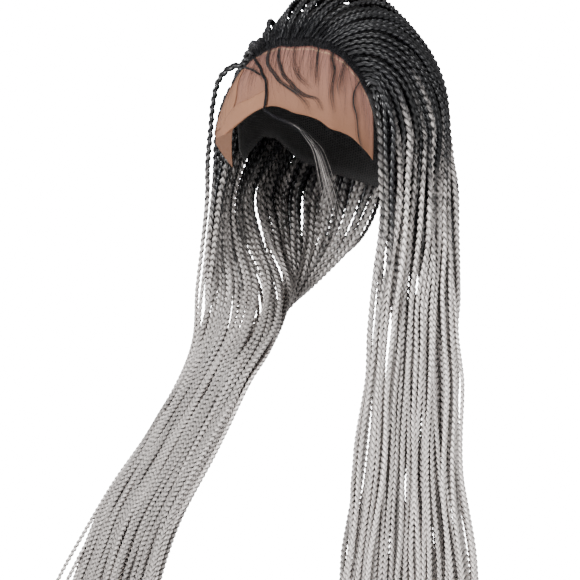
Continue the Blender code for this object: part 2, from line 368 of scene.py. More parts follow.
class HairSheet:
    """One sheet of hair on one side: its middle surface, outward normals and lock widths."""

    def __init__(self, side, back):
        self.side, self.back = side, back
        sections = LEFT_SECTIONS if side > 0 else RIGHT_SECTIONS
        crown = np.linspace(0.0, 1.0, SHEET_CROWN)
        drops = np.linspace(0.0, 1.0, SHEET_DROP + 1)[1:]
        near_leaving = np.array((1.0 - 1.0 / CROWN_ROWS[back], 1.0))
        lines = []
        for across in np.linspace(0.0, 1.0, SHEET_ACROSS + 1):
            sheet_place = (across + back) / 2
            over = crown_line(side, sheet_place, crown)
            leaving = crown_line(side, sheet_place, near_leaving)
            keys = [((-CROWN_HEIGHT - z) / HAIR_DROP, x, y) for x, y, z in leaving]
            for section in sections:
                keys.append((section[0], *section_point(side, section[1 + back], across)))
            flat = read_smoothly(np.array(keys), drops)
            levels = -CROWN_HEIGHT - drops * HAIR_DROP
            lines.append(np.vstack((over, np.column_stack((flat, levels)))))
        self.points = np.array(lines)
        self.crown_share = np.concatenate((crown, np.ones(SHEET_DROP)))
        self.drop_share = np.concatenate((np.zeros(SHEET_CROWN), drops))
        self.depth = lock_depth(self.crown_share, self.drop_share)
        down = np.gradient(self.points, axis=1)
        across = np.gradient(self.points, axis=0)
        self.normals = unit(np.cross(down, across)) * side
        self.lock_width = np.linalg.norm(across, axis=2) * SHEET_ACROSS / LOCKS_IN_ROW

    def read(self, values, across):
        """Values of the sheet along a line whose place across it may change on the way down."""
        place = np.clip(across, 0.0, 1.0) * SHEET_ACROSS
        low = np.minimum(place.astype(int), SHEET_ACROSS - 1)
        share = place - low
        column = np.arange(values.shape[1])
        if values.ndim == 3:
            share = share[:, None]
        return values[low, column] * (1 - share) + values[low + 1, column] * share


def resampled(values, lengths, places):
    """Rows of values read at places along a length."""
    values = np.asarray(values)
    if values.ndim == 1:
        return np.interp(places, lengths, values)
    return np.column_stack([np.interp(places, lengths, column) for column in values.T])


def along(points):
    """Length from the first point to each point."""
    return np.concatenate(((0.0,), np.cumsum(np.linalg.norm(np.diff(points, axis=0), axis=1))))


def slow_wave(length, rng, shortest, longest):
    """Sum of three waves along a length, mostly between -1 and 1."""
    wave = np.zeros_like(length)
    for _ in range(3):
        wave += np.sin(length / rng.uniform(shortest, longest) * 2 * math.pi
                       + rng.uniform(0, 2 * math.pi))
    return wave / WAVE_PEAK


def stacked(shape, values):
    """Rows with one column for each value, spread over a shape."""
    spread = [np.broadcast_to(value, shape) for value in values]
    return np.stack(spread, -1).reshape(-1, len(values))


def placed(name, data):
    """A new object in the scene."""
    thing = bpy.data.objects.new(name, data)
    bpy.context.collection.objects.link(thing)
    return thing


def finished(name, mesh, material, slot):
    """A smooth piece of one material, riding on the body."""
    mesh.shade_smooth()
    mesh.materials.append(material)
    thing = placed(name, mesh)
    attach(thing, BODY)
    return thing


class JoinedMesh:
    """Many small tubes joined into one mesh, with their attributes."""

    def __init__(self):
        self.points, self.quads, self.shades, self.uvs = [], [], [], []
        self.count = 0

    def add_tube(self, rings, lengths, *shades):
        """A tube through rings of points, open at its two thin ends.

        Shades: how grey the hair is, how far it is plaited, its tone with painted shade where a
        plait lies back, and the painted light or shade on each corner.
        """
        total, sides = rings.shape[:2]
        index = np.arange(total * sides).reshape(total, sides) + self.count
        following = np.roll(index, -1, axis=1)
        quads = np.stack((index[:-1], following[:-1], following[1:], index[1:]), -1)
        around = np.arange(sides + 1) / sides
        u = np.stack((around[:-1], around[1:], around[1:], around[:-1]), -1)
        v = np.stack((lengths[:-1], lengths[:-1], lengths[1:], lengths[1:]), -1)[:, None]
        self.points.append(rings.reshape(-1, 3))
        self.quads.append(quads.reshape(-1, 4))
        self.shades.append(stacked((total, sides), shades))
        self.uvs.append(stacked((total - 1, sides, 4), (u, v)))
        self.count += total * sides

    def build(self, name, material):
        """The finished piece."""
        def flat(arrays, kind=np.float32):
            return np.concatenate(arrays).astype(kind).ravel()

        corners = flat(self.quads, np.int32)
        mesh = bpy.data.meshes.new(name)
        mesh.vertices.add(self.count)
        mesh.vertices.foreach_set("co", flat(self.points))
        mesh.loops.add(len(corners))
        mesh.loops.foreach_set("vertex_index", corners)
        mesh.polygons.add(len(corners) // 4)
        mesh.polygons.foreach_set("loop_start", np.arange(0, len(corners), 4, dtype=np.int32))
        mesh.uv_layers.new(name="Along").uv.foreach_set("vector", flat(self.uvs))
        shade = mesh.attributes.new("shade", "FLOAT_COLOR", "POINT")
        shade.data.foreach_set("color", flat(self.shades))
        mesh.update(calc_edges=True)
        mesh.validate()
        return finished(name, mesh, material, HAIR_SLOT)


def frames_along(points, normals):
    """Directions along, across and out of a line."""
    forward = unit(np.gradient(points, axis=0))
    across = unit(np.cross(forward, normals))
    return forward, across, np.cross(across, forward)


def plait_rings(points, normals, widths, depths, lobed, lean, turns):
    """Rings of a plait whose lobes swing from side to side, one swing for each whole turn."""
    forward, across, out = frames_along(points, normals)
    swing = np.cos(turns * 2 * math.pi)
    swing = 0.5 + 0.5 * np.sign(swing) * np.abs(swing) ** 0.5
    form = RIGHT_LOBE * swing[:, None, None] + LEFT_LOBE * (1 - swing[:, None, None])
    form = form * lobed[:, None, None] + PLAIN_RING * (1 - lobed[:, None, None])
    return (
        points[:, None, :]
        + across[:, None, :] * (form[..., 0] * widths[:, None] / 2)[..., None]
        + out[:, None, :] * (form[..., 1] * depths[:, None] / 2)[..., None]
        + forward[:, None, :] * (LEAN * (lobed * lean)[:, None])[..., None]
    )


def fade_at(levels, middle, settings):
    """0 in the black roots to 1 in the grey lengths."""
    share = np.clip((-levels - middle) / settings.fade_length + 0.5, 0.0, 1.0)
    return share * share * (3 - 2 * share)


# Drop at which the plaiting starts to tighten and the length over which it does, and the spread of
# the pitch between plaits
TIGHTEN_FROM, TIGHTEN_OVER = 0.08, 0.22
PITCH_SPREAD = (0.93, 1.07)
# How far a plait turns about its own line, in radians, and the lengths of those waves
ROLL, ROLL_WAVES = 0.5, (0.12, 0.35)
# How far a lobe leans down the plait, as a share of the pitch
LOBE_LEAN = 0.22
# Thin start of a plait: its length, its first width and what it gains, as shares
ROOT_TAPER = 0.010
ROOT_SCALE, ROOT_GAIN = 0.55, 0.45
# Loose tuft at the tip: its length, and its width at places from the tip as a share
TUFT_LENGTH = 0.028
TUFT_PLACES = np.array((0.0, 0.4, 0.9, 1.0)) * TUFT_LENGTH
TUFT_SCALES = (0.10, 0.75, 0.95, 0.60)
# Plaits that turn grey higher up: their share and the shift in metres
EARLY_FADE_SHARE = 0.14
EARLY_FADE_SHIFT = 0.030
# How strongly black and grey strands mix where the colour changes
MIXED_STRANDS = 1.9
# How much lower the outer and the inner plaits of each side turn grey
SIDE_FADES = {1: (-0.002, 0.026), -1: (0.042, 0.024)}
# Locks at the right temple that stay black longer
LATE_LOCKS = {
    ("right", "front", 0): 0.034, ("right", "front", 1): 0.046, ("right", "front", 2): 0.022,
}
# Share of the grey that the left side still lacks at one level, and gains down to another
LEFT_HAZE, HAZE_TOP, HAZE_END = 0.16, 0.20, 0.45


def add_plait(joined, points, normals, widths, settings, rng, rings_per_turn, tone,
              later_fade=0.0, haze=0.0, painted_light=1.0):
    """A plait along a route, thin at its root and ending in a loose tuft."""
    lengths = along(points)
    tightness = ramp(-points[:, 2], TIGHTEN_FROM, TIGHTEN_OVER)
    pitch = settings.root_pitch + (settings.pitch - settings.root_pitch) * tightness
    pitch = pitch * rng.uniform(*PITCH_SPREAD)
    turned = np.concatenate(((0.0,), np.cumsum(np.diff(lengths) * 2 / (pitch[1:] + pitch[:-1]))))
    turns = np.arange(0.0, turned[-1], 1.0 / rings_per_turn)
    places = np.interp(turns, turned, lengths)
    pitch = np.interp(places, lengths, pitch)
    half_step = 0.5 / rings_per_turn * (rings_per_turn == OUTER_RINGS)
    turns = turns + half_step + 0.5 * rng.randint(0, 1)
    route, facing, width = (
        resampled(values, lengths, places) for values in (points, normals, widths))
    _, across, out = frames_along(route, unit(facing))
    roll = slow_wave(places, rng, *ROLL_WAVES) * ROLL
    facing = out * np.cos(roll)[:, None] + across * np.sin(roll)[:, None]
    left = places[-1] - places
    tuft = left < TUFT_LENGTH
    scale = np.where(tuft, np.interp(left, TUFT_PLACES, TUFT_SCALES),
                     np.minimum(ROOT_SCALE + ROOT_GAIN * places / ROOT_TAPER, 1.0))
    lobed = np.where(tuft, 0.0, np.minimum(places / ROOT_TAPER, 1.0))
    width = width * scale
    depth = settings.depth * (width / settings.width) ** 0.5 * scale ** 0.5
    rings = plait_rings(route, facing, width, depth, lobed, pitch * LOBE_LEAN, turns)
    middle = settings.fade_level + later_fade + rng.gauss(0.0, 1.0) * settings.fade_scatter
    if rng.random() < EARLY_FADE_SHARE:
        middle -= EARLY_FADE_SHIFT
    fade = fade_at(route[:, 2], middle, settings)[:, None]
    cleared = ramp(-route[:, 2], HAZE_TOP, HAZE_END - HAZE_TOP)[:, None]
    fade = fade * (1 - haze * (1 - cleared))
    mixed = np.array([rng.uniform(-1, 1) for _ in range(len(places) * RING_SIDES)])
    mixed = mixed.reshape(-1, RING_SIDES) * MIXED_STRANDS
    fade = np.clip(fade + mixed * fade * (1 - fade), 0.0, 1.0)
    joined.add_tube(rings, turns + 0.5, fade, lobed[:, None], tone, painted_light)


# Plaits of one lock: place across a narrow lock and a wide one, layer in the lock's depth, and
# the lowest width of lock at its start
PLAITS_IN_LOCK = (
    (0.50, 0.25, 0.27, 0.0),
    (0.62, 0.75, 0.27, 0.0072),
    (0.02, 0.02, -0.27, 0.0066),
    (0.52, 0.52, -0.27, 0.0078),
)
BACK_PLAITS_IN_LOCK = PLAITS_IN_LOCK[:3] + (
    (0.52, 0.36, -0.27, 0.0078),
    (0.60, 0.70, -0.27, 0.0092),
)
NARROW_LOCK = 0.0060
WIDE_LOCK = 0.0090
# Share of a narrow and of a wide lock that one plait may take
PLAIT_ROOM = (0.95, 0.60)
# Width from which a lock has room to spare, the width over which that grows, and the share of
# the stray that it takes away
SPARE_FROM, SPARE_OVER, SPARE_CALM = 0.0105, 0.003, 0.25
CROWN_LEVEL = -0.12
LOWER_LEVEL = -0.23
# Outer and inner plaits: how far they stand out or in, in metres, fullness and rings a turn
OUTER_RINGS, INNER_RINGS = 4, 2
OUTER_LAYER = (0.0017, 1.02, OUTER_RINGS)
INNER_LAYER = (0.0010, 1.38, INNER_RINGS)
# Lengths of the waves in which a plait strays sideways and rises, and the height of that rise
DRIFT_WAVES, RISE_WAVES, RISE_HEIGHT = (0.10, 0.42), (0.05, 0.30), 0.0010
# Calm start of each plait: its length, the lengths over which stray and rise set in, and the
# shares of them that it has from its root
CALM_START, DRIFT_IN, RISE_IN = 0.005, 0.05, 0.03
LEAST_DRIFT, LEAST_RISE = 0.3, 0.4
# Length over which a plait that starts lower comes out of its lock, and its start in the depth
EMERGE_LENGTH, EMERGE_DEPTH = 0.02, 0.25
# Largest share of the drop by which a plait ends early
TIP_STAGGER = 0.045
WIDTH_SPREAD = (0.90, 1.08)
# Tone of a plait, which differs at random, and the painted shade by depth: how much lighter it is
# painted where it stands out and darker where it lies back
TONE_SPREAD, PAINTED_RELIEF_SHADE = (0.52, 0.88), 0.13
# Painted light on each corner of an inner plait's ring, 1 for fully lit: painted shade, darkest
# towards the outer plaits
INNER_PAINTED_LIGHT = {
    1: np.array((0.72, 0.50, 0.50, 0.72, 0.94, 0.94)),
    -1: np.array((0.54, 0.46, 0.46, 0.54, 0.60, 0.60)),
}

# Plaits that stand off the sheet's edges: distance in metres between two levels
STAND_OFFS = {
    ("left", "front", 0, 0): (0.0045, -0.44, -0.19),
    ("left", "front", 0, 1): (0.0030, -0.44, -0.20),
    ("left", "front", 9, 1): (-0.0050, -0.47, -0.22),
    ("left", "back", 9, 1): (-0.0030, -0.50, -0.24),
    **{("right", "back", 0, plait): (distance, -0.27, -0.09) for plait, distance
       in enumerate((-0.0028, -0.0020, -0.0030, -0.0022, -0.0012))},
}


def stand_off(levels, distance, low, high):
    """Sideways distance that swells between two levels."""
    return distance * np.sin(ramp(levels, low, high - low) * math.pi) ** 1.2


def lock_plaits(sheet, number, settings, rng, names):
    """The plaits of one lock, laid in its solid from the hairline to the tips."""
    joined = JoinedMesh()
    middle_line = np.full(sheet.points.shape[1], (number + 0.5) / LOCKS_IN_ROW)
    lock_width = sheet.read(sheet.lock_width, middle_line)
    middle = sheet.read(sheet.points, middle_line)
    levels, lengths = middle[:, 2], along(middle)
    plait_width = np.interp(levels, (LOWER_LEVEL, CROWN_LEVEL),
                            (settings.width, settings.crown_width))
    room = lock_width * np.interp(lock_width, (NARROW_LOCK, WIDE_LOCK), PLAIT_ROOM)
    spare = ramp(lock_width, SPARE_FROM, SPARE_OVER)
    haze = LEFT_HAZE if sheet.side > 0 else 0.0
    late = LATE_LOCKS.get((*names, number), 0.0)
    plaits = BACK_PLAITS_IN_LOCK if sheet.back else PLAITS_IN_LOCK
    for index, (narrow, wide, layer, start_width) in enumerate(plaits):
        outer = layer > 0
        relief, fuller, rings_per_turn = OUTER_LAYER if outer else INNER_LAYER
        wide_enough = np.nonzero(lock_width >= start_width)[0]
        start = int(wide_enough[0]) if len(wide_enough) else 0
        start = min(start, SHEET_CROWN // 2) + (0 if outer else 1)
        place = np.interp(lock_width, (NARROW_LOCK, WIDE_LOCK), (narrow, wide))
        drift = slow_wave(lengths, rng, *DRIFT_WAVES) * settings.wander
        drift = drift * np.clip((lengths - CALM_START) / DRIFT_IN, LEAST_DRIFT, 1.0)
        drift = drift * (1 - SPARE_CALM * spare)
        moved = (number + place) / LOCKS_IN_ROW + drift / (lock_width * LOCKS_IN_ROW)
        points = sheet.read(sheet.points, moved)
        normals = unit(sheet.read(sheet.normals, moved))
        steady = min(max(rng.gauss(0, relief), -2 * relief), 2 * relief)
        lift = steady + slow_wave(lengths, rng, *RISE_WAVES) * RISE_HEIGHT
        lift = lift * np.clip((lengths - CALM_START) / RISE_IN, LEAST_RISE, 1.0)
        rise = ramp(lengths, lengths[start], EMERGE_LENGTH) if start > 2 else np.ones_like(lengths)
        lift = (layer * rise - EMERGE_DEPTH * (1 - rise)) * sheet.depth + lift
        points = points + normals * lift[:, None]
        if (*names, number, index) in STAND_OFFS:
            shift = stand_off(levels, *STAND_OFFS[(*names, number, index)])
            points = points + frames_along(points, normals)[1] * shift[:, None]
        last = int(len(lengths) - 1 - rng.uniform(0, TIP_STAGGER) * SHEET_DROP)
        widths = np.minimum(plait_width * rng.uniform(*WIDTH_SPREAD) * fuller, room * fuller)
        # Random tone plus painted shade: plaits that lie back are painted darker, those that stand
        # out lighter
        tone = rng.uniform(*TONE_SPREAD) + PAINTED_RELIEF_SHADE * steady / relief
        route = slice(start, last + 1)
        # Inner plaits get painted shade on their corners, darkest on those that face the outer
        # plaits
        add_plait(joined, points[route], normals[route], widths[route], settings, rng,
                  rings_per_turn, min(max(tone, 0.0), 1.0),
                  SIDE_FADES[sheet.side][0 if outer else 1] + late, haze,
                  1.0 if outer else INNER_PAINTED_LIGHT[sheet.side])
    return joined


class NodeSheet:
    """Short calls for placing and linking nodes in one tree."""

    def __init__(self, tree):
        self.tree = tree

    def fill(self, node, inputs):
        """Give a node's inputs their values and links."""
        for key, value in inputs.items():
            if isinstance(value, bpy.types.NodeSocket):
                self.tree.links.new(value, node.inputs[key])
            else:
                node.inputs[key].default_value = value
        return node.outputs

    def add(self, kind, inputs=None, **settings):
        """Outputs of a new node."""
        node = self.tree.nodes.new(kind)
        for key, value in settings.items():
            setattr(node, key, value)
        return self.fill(node, inputs or {})

    def maths(self, operation, *values):
        return self.add("ShaderNodeMath", dict(enumerate(values)), operation=operation)[0]

    def mix(self, factor, a, b, blend="MIX"):
        inputs = {0: factor, 6: a, 7: b}
        return self.add("ShaderNodeMix", inputs, data_type="RGBA", blend_type=blend)[2]

    def shaded(self, colour, factor):
        """A colour times a factor."""
        grey = self.add("ShaderNodeCombineColor", {0: factor, 1: factor, 2: factor})
        return self.mix(1.0, colour, grey[0], "MULTIPLY")

    def noise(self, place, scale, detail, roughness):
        return self.add("ShaderNodeTexNoise", {
            "Vector": place, "Scale": scale, "Detail": detail, "Roughness": roughness})[0]

    def bump(self, height, strength, distance):
        return self.add("ShaderNodeBump", {
            "Height": height, "Strength": strength, "Distance": distance})[0]

    def mask(self, value, zero_at, one_at):
        """0 at one value and 1 at another."""
        return self.add("ShaderNodeMapRange", {0: value, 1: zero_at, 2: one_at}, clamp=True)[0]

    def along(self):
        """Place on a piece's own UV map."""
        return self.add("ShaderNodeUVMap", uv_map="Along")[0]

    def shade(self):
        """The shade attribute's outputs."""
        return self.add("ShaderNodeAttribute", attribute_name="shade")

    def group(self, made, inputs):
        return self.add("ShaderNodeGroup", inputs, node_tree=made)


def new_group(name, inputs, outputs):
    """A shader group with its sockets, its sheet of nodes and what it is given."""
    group = bpy.data.node_groups.new(name, "ShaderNodeTree")
    for in_out, sockets in (("INPUT", inputs), ("OUTPUT", outputs)):
        for socket_name, kind, *default in sockets:
            socket = group.interface.new_socket(
                name=socket_name, in_out=in_out, socket_type=f"NodeSocket{kind}")
            if default:
                socket.default_value = default[0]
    sheet = NodeSheet(group)
    return group, sheet, sheet.add("NodeGroupInput")


# Lobe of a plait in the shader, across it from -1 to 1: how flat its top is down the plait, how
# far over the middle it starts, its reach, and the height of loose hair beside a full lobe
LOBE_FLATNESS, LOBE_OVERLAP, LOBE_REACH, LOOSE_HEIGHT = 2.4, 0.50, 0.85, 0.75
# Fibres: turns down the plait, turns across it, slant, and how far apart two tones lie
FIBRES_DOWN, FIBRES_ACROSS, FIBRE_SLANT, FIBRE_TONES = 0.7, 7.0, 2.0, 40.0


def hair_group():
    """Hair colour and height: lobes that alternate from side to side down the plait, and fibres.
    The colour has painted shade in the creases between lobes, painted light on the lobes' tops,
    and the painted light or shade that it is given.

    Along.x runs once round the plait from its right edge, Along.y one for each lobe of a side.
    """
    group = bpy.data.node_groups.get("Hair colour")
    if group:
        return group
    group, sheet, given = new_group(
        "Hair colour",
        (("Root", "Color"), ("Tip", "Color"), ("Shade", "Color"), ("Along", "Vector"),
         ("Groove", "Float", 0.6), ("Openness", "Float", 1.0)),
        (("Colour", "Color"), ("Height", "Float"), ("Roughness", "Float"), ("Gloss", "Float")))
    maths = sheet.maths
    grey, plaited, tone = sheet.add("ShaderNodeSeparateColor", {0: given["Shade"]})[:3]
    round_it, down = sheet.add("ShaderNodeSeparateXYZ", {0: given["Along"]})[:2]
    across = maths("MULTIPLY_ADD", maths("PINGPONG", round_it, 0.5), 4.0, -1.0)
    lobes = []
    for turn, shift in ((1.0, 0.0), (-1.0, 0.5)):
        from_middle = maths("ABSOLUTE", maths("MULTIPLY_ADD", maths(
            "FRACT", maths("ADD", down, shift)), 2.0, -1.0))
        round_top = maths("SUBTRACT", 1.0, maths("POWER", from_middle, LOBE_FLATNESS))
        side = maths("MULTIPLY", across, turn)
        reach = maths("DIVIDE", maths("ADD", side, LOBE_OVERLAP), LOBE_REACH)
        fall = maths("SUBTRACT", 1.0, maths("POWER", maths("MAXIMUM", reach, 0.0), 2.0))
        lobes.append(maths("MULTIPLY", round_top, maths("MAXIMUM", fall, 0.0)))
    lobe = maths("ADD", maths("MULTIPLY", maths("MAXIMUM", *lobes), plaited),
                 maths("MULTIPLY", LOOSE_HEIGHT, maths("SUBTRACT", 1.0, plaited)))
    fibre_place = sheet.add("ShaderNodeCombineXYZ", {
        0: maths("MULTIPLY", down, FIBRES_DOWN),
        1: maths("MULTIPLY_ADD", maths("ABSOLUTE", across), FIBRES_ACROSS,
                 maths("MULTIPLY", down, FIBRE_SLANT)),
        2: maths("MULTIPLY", tone, FIBRE_TONES)})
    fibre = sheet.noise(fibre_place[0], 2.2, 3.0, 0.6)
    strand = maths("MULTIPLY_ADD", fibre, 0.7, 0.65)
    # Painted shade: the creases between lobes are painted darker and the lobes' tops a little
    # lighter
    painted_crease_shade = maths("SUBTRACT", 1.18, maths(
        "MULTIPLY", given["Groove"], maths("SUBTRACT", 1.0, maths("POWER", lobe, 1.5))))
    toned = maths("MULTIPLY", maths("MULTIPLY_ADD", tone, 0.95, 0.33), strand)
    colour = sheet.shaded(sheet.mix(grey, given["Root"], given["Tip"]), maths(
        "MULTIPLY", toned, maths("MULTIPLY", painted_crease_shade, given["Openness"])))
    sheet.add("NodeGroupOutput", {
        "Colour": colour, "Height": maths("MULTIPLY_ADD", fibre, 0.18, lobe),
        "Roughness": maths("MULTIPLY_ADD", maths("SUBTRACT", 1.0, lobe), 0.45, 0.30),
        "Gloss": maths("MULTIPLY", maths("POWER", lobe, 1.6), strand)})
    return group


def net_group():
    """Fine net from three sets of threads: a mask that is 1 on a thread and 0 in a hole."""
    group = bpy.data.node_groups.get("Fine net")
    if group:
        return group
    group, sheet, given = new_group(
        "Fine net", (("Place", "Vector"), ("Mesh size", "Float", 0.001)), (("Thread", "Float"),))
    maths = sheet.maths
    place = sheet.add("ShaderNodeSeparateXYZ", {0: given["Place"]})
    turns = maths("DIVIDE", 2 * math.pi, given["Mesh size"])
    waves = []
    for degrees in (0, 60, 120):
        angle = math.radians(degrees)
        line = maths("ADD", maths("MULTIPLY", place[0], math.cos(angle)),
                     maths("MULTIPLY", place[1], math.sin(angle)))
        waves.append(maths("SINE", maths("MULTIPLY", line, turns)))
    thread = maths("MAXIMUM", maths("MAXIMUM", *waves[:2]), waves[2])
    sheet.add("NodeGroupOutput", {"Thread": sheet.mask(thread, 0.2, 0.9)})
    return group


def new_material(name):
    """An empty material with a Principled shader."""
    material = bpy.data.materials.new(name)
    material.use_nodes = True
    return material, NodeSheet(material.node_tree), material.node_tree.nodes["Principled BSDF"]


# Depth of the painted shade in the grooves between lobes and strength of the gloss on each kind of
# hair
HAIR_FINISHES = {"plaited_hair": (1.04, 0.86), "fine_hair": (0.3, 0.12)}


def hair_material(name, settings):
    """Satin synthetic hair, black at the roots and silver grey in the lengths."""
    found = bpy.data.materials.get(name)
    if found:
        return found
    groove_shade, gloss = HAIR_FINISHES[name]
    material, sheet, shader = new_material(name)
    shade = sheet.shade()
    # The shade attribute's alpha carries painted light or shade: 1 where a plait is fully lit
    made = sheet.group(hair_group(), {
        "Root": tuple(settings.root_colour), "Tip": tuple(settings.tip_colour),
        "Shade": shade["Color"], "Along": sheet.along(), "Groove": groove_shade,
        "Openness": shade["Alpha"]})
    sheet.fill(shader, {
        "Base Color": made["Colour"], "Roughness": made["Roughness"],
        "Normal": sheet.bump(made["Height"], 0.9, 0.0011),
        "Coat Weight": sheet.maths("MULTIPLY", made["Gloss"], gloss),
        "Coat Roughness": 0.28, "Specular IOR Level": 0.10})
    return material


# Pale knots along the hairline: colour, cover, middle of their band on the way from the hairline
# to the cut edge, and how far from it they end and are full
KNOT_COLOUR, KNOT_COVER = (0.50, 0.34, 0.19, 1.0), 0.75
KNOT_MIDDLE, KNOT_END, KNOT_FULL = 0.060, 0.018, 0.006


def lace_material(settings):
    """Sheer tan net, pinker beside the hairline and browner at its cut edge, with painted shade on
    the tab that hangs under its corner.
    """
    material, sheet, shader = new_material("lace_net")
    maths = sheet.maths
    down, doubled, shadowed = sheet.add("ShaderNodeSeparateColor", {0: sheet.shade()["Color"]})[:3]
    place = sheet.along()
    thread = sheet.group(net_group(), {"Place": place, "Mesh size": settings.mesh_size})["Thread"]
    cloud = sheet.noise(place, 60.0, 4.0, 0.6)
    # The tab's mask paints shade on it; with the doubled strips' mask it also makes the net fully
    # opaque
    soft, net, double, shadow = (maths("MULTIPLY_ADD", *values) for values in (
        (cloud, 0.30, 0.85), (thread, 0.16, 0.90), (doubled, 0.14, 1.0), (shadowed, -0.42, 1.0)))
    colour = sheet.shaded(
        sheet.mix(down, tuple(settings.hairline_colour), tuple(settings.edge_colour)),
        maths("MULTIPLY", maths("MULTIPLY", soft, net), maths("MULTIPLY", double, shadow)))
    from_knots = maths("ABSOLUTE", maths("SUBTRACT", down, KNOT_MIDDLE))
    knots = maths("MULTIPLY", sheet.mask(from_knots, KNOT_END, KNOT_FULL),
                  sheet.mask(sheet.noise(place, 850.0, 1.0, 0.5), 0.46, 0.54))
    cover = maths("ADD", settings.cover - 0.05, maths("MULTIPLY", thread, 0.10))
    sheet.fill(shader, {
        "Base Color": sheet.mix(maths("MULTIPLY", knots, KNOT_COVER), colour, KNOT_COLOUR),
        "Alpha": maths("MAXIMUM", cover, maths("MAXIMUM", doubled, shadowed)),
        "Normal": sheet.bump(thread, 0.3, 0.0003),
        "Roughness": 0.75, "Specular IOR Level": 0.25})
    return material


def cap_material():
    """Black stretch mesh."""
    material, sheet, shader = new_material("cap_mesh")
    thread = sheet.group(net_group(), {"Place": sheet.along(), "Mesh size": 0.0022})["Thread"]
    sheet.fill(shader, {
        "Base Color": sheet.mix(thread, (0.004, 0.004, 0.004, 1.0), (0.022, 0.021, 0.021, 1.0)),
        "Normal": sheet.bump(thread, 0.6, 0.0005), "Roughness": 0.8})
    return material


# Share of the backdrop's brightness that the camera sees on the floor
FLOOR_SHOWN = 0.8


def floor_material(backdrop):
    """Matt near-white floor that shows as bright as the backdrop, with its soft shadow."""
    material, sheet, shader = new_material("pale_floor")
    grain = sheet.add("ShaderNodeTexNoise", {"Scale": 30.0, "Detail": 3.0})[0]
    seen = sheet.add("ShaderNodeLightPath")["Is Camera Ray"]
    sheet.fill(shader, {
        "Base Color": sheet.mix(grain, (0.86, 0.86, 0.86, 1.0), (0.90, 0.90, 0.90, 1.0)),
        "Emission Strength": sheet.maths("MULTIPLY", seen, backdrop * FLOOR_SHOWN),
        "Emission Color": (1, 1, 1, 1), "Roughness": 0.9})
    return material


def extruded_rows(rows, closed, shades=None):
    """Sheet made by extruding a first row of points once for each further row, with its UV map.

    Shades, where they are given, are one for each row.
    """
    bm = bmesh.new()
    column = bm.verts.layers.int.new("column")
    line = bm.verts.layers.int.new("line")
    verts = [bm.verts.new(point) for point in rows[0]]
    for index, vert in enumerate(verts):
        vert[column] = index
    pairs = list(zip(verts, verts[1:]))
    if closed:
        pairs.append((verts[-1], verts[0]))
    first = last = [bm.edges.new(pair) for pair in pairs]
    for number, row in enumerate(rows[1:], 1):
        made = bmesh.ops.extrude_edge_only(bm, edges=last)["geom"]
        for item in made:
            if isinstance(item, bmesh.types.BMVert):
                item.co = row[item[column]]
                item[line] = number
        last = [item for item in made if isinstance(item, bmesh.types.BMEdge)]
    bmesh.ops.recalc_face_normals(bm, faces=bm.faces)
    width = len(rows[0])
    across = [along(np.array(row)) for row in rows]
    down = along(np.array([row[width // 2] for row in rows]))
    middle = [line_lengths[width // 2] for line_lengths in across]
    layer = bm.loops.layers.uv.new("Along")
    for face in bm.faces:
        columns = [vert[column] for vert in face.verts]
        seam = closed and max(columns) - min(columns) > 1
        for loop in face.loops:
            number, index = loop.vert[line], loop.vert[column]
            reach = across[number][index] - middle[number]
            if seam and index == 0:
                step = across[number][-1] - across[number][-2]
                reach = across[number][-1] + step - middle[number]
            loop[layer].uv = (reach, down[number])
    if shades is not None:
        shade = bm.verts.layers.float_color.new("shade")
        for vert in bm.verts:
            vert[shade] = shades[vert[line]]
    return bm, first


def mesh_from(name, bm):
    """Mesh of a finished bmesh."""
    mesh = bpy.data.meshes.new(name)
    bm.to_mesh(mesh)
    bm.free()
    return mesh


def finish_sheet(name, bm, material, slot, wall):
    """Piece from a sheet, with its wall on the outside."""
    thing = finished(name, mesh_from(name, bm), material, slot)
    solidify = thing.modifiers.new("Wall", "SOLIDIFY")
    solidify.thickness = wall
    solidify.offset = 1.0
    return thing


class WIG_OT_cap(Operator):
    """Make the black mesh cap, finer than its solid"""

    bl_idname = "wig.cap"
    bl_label = "Cap"

    columns: IntProperty(name="Columns", description="Steps round the cap", default=96)
    lines: IntProperty(name="Lines", description="Steps down the cap", default=22)

    def execute(self, context):
        directions = np.arange(self.columns) / self.columns * 360.0 - 90.0
        reach = rim_angle(directions)
        rows = [head_points(directions, reach * row / self.lines, 0.0).tolist()
                for row in range(1, self.lines + 1)]
        bm, crown_edges = extruded_rows(rows, closed=True)
        bmesh.ops.edgeloop_fill(bm, edges=crown_edges)
        bmesh.ops.recalc_face_normals(bm, faces=bm.faces)
        cap = finish_sheet("cap_dome", bm, cap_material(), CAP_SLOT, CAP_WALL)
        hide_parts("cap")
        return {"FINISHED"}


def lace_profile(direction):
    """Angle of the lace's cut edge, its lift there in metres and the power of that lift."""
    direction = np.clip(np.asarray(direction, float), LACE_EDGE[0, 0], LACE_EDGE[-1, 0])
    edge, lift, power = read_smoothly(LACE_EDGE, direction.ravel()).T
    return edge, lift * HEAD_WIDTH, power


def lace_lift(direction, angle):
    """How far the lace stands off the head at a direction and angle."""
    edge, lift, power = lace_profile(direction)
    start = rim_angle(direction)
    return lift * ramp(angle, start, edge - start) ** power


def on_lace(direction, angle, height):
    """Points a height above the lace."""
    return head_points(direction, angle, lace_lift(direction, angle) + height)


def lace_line(direction, share):
    """Points along the lace at one share of the way from the hairline to the cut edge."""
    edge, lift, power = lace_profile(direction)
    start = rim_angle(direction) + math.degrees(LACE_GAP / CROWN_HEIGHT)
    return head_points(direction, start + (edge - start) * share, lift * share ** power)


def blended_lines(lines, across, down):
    """Lines of places that blend from one line on the lace to another."""
    first, second = (smooth_route(line, across) for line in lines)
    return [first * (1 - share) + second * share for share in np.linspace(0.0, 1.0, down)]


# Walls of the net and of the strips laid on it, the strips' height above it, and their steps
# across and down, with those of the tab
NET_WALL, STRIP_WALL, STRIP_RISE = 0.0005, 0.0004, 0.0009
STRIP_STEPS, TAB_STEPS = (40, 9), (24, 16)


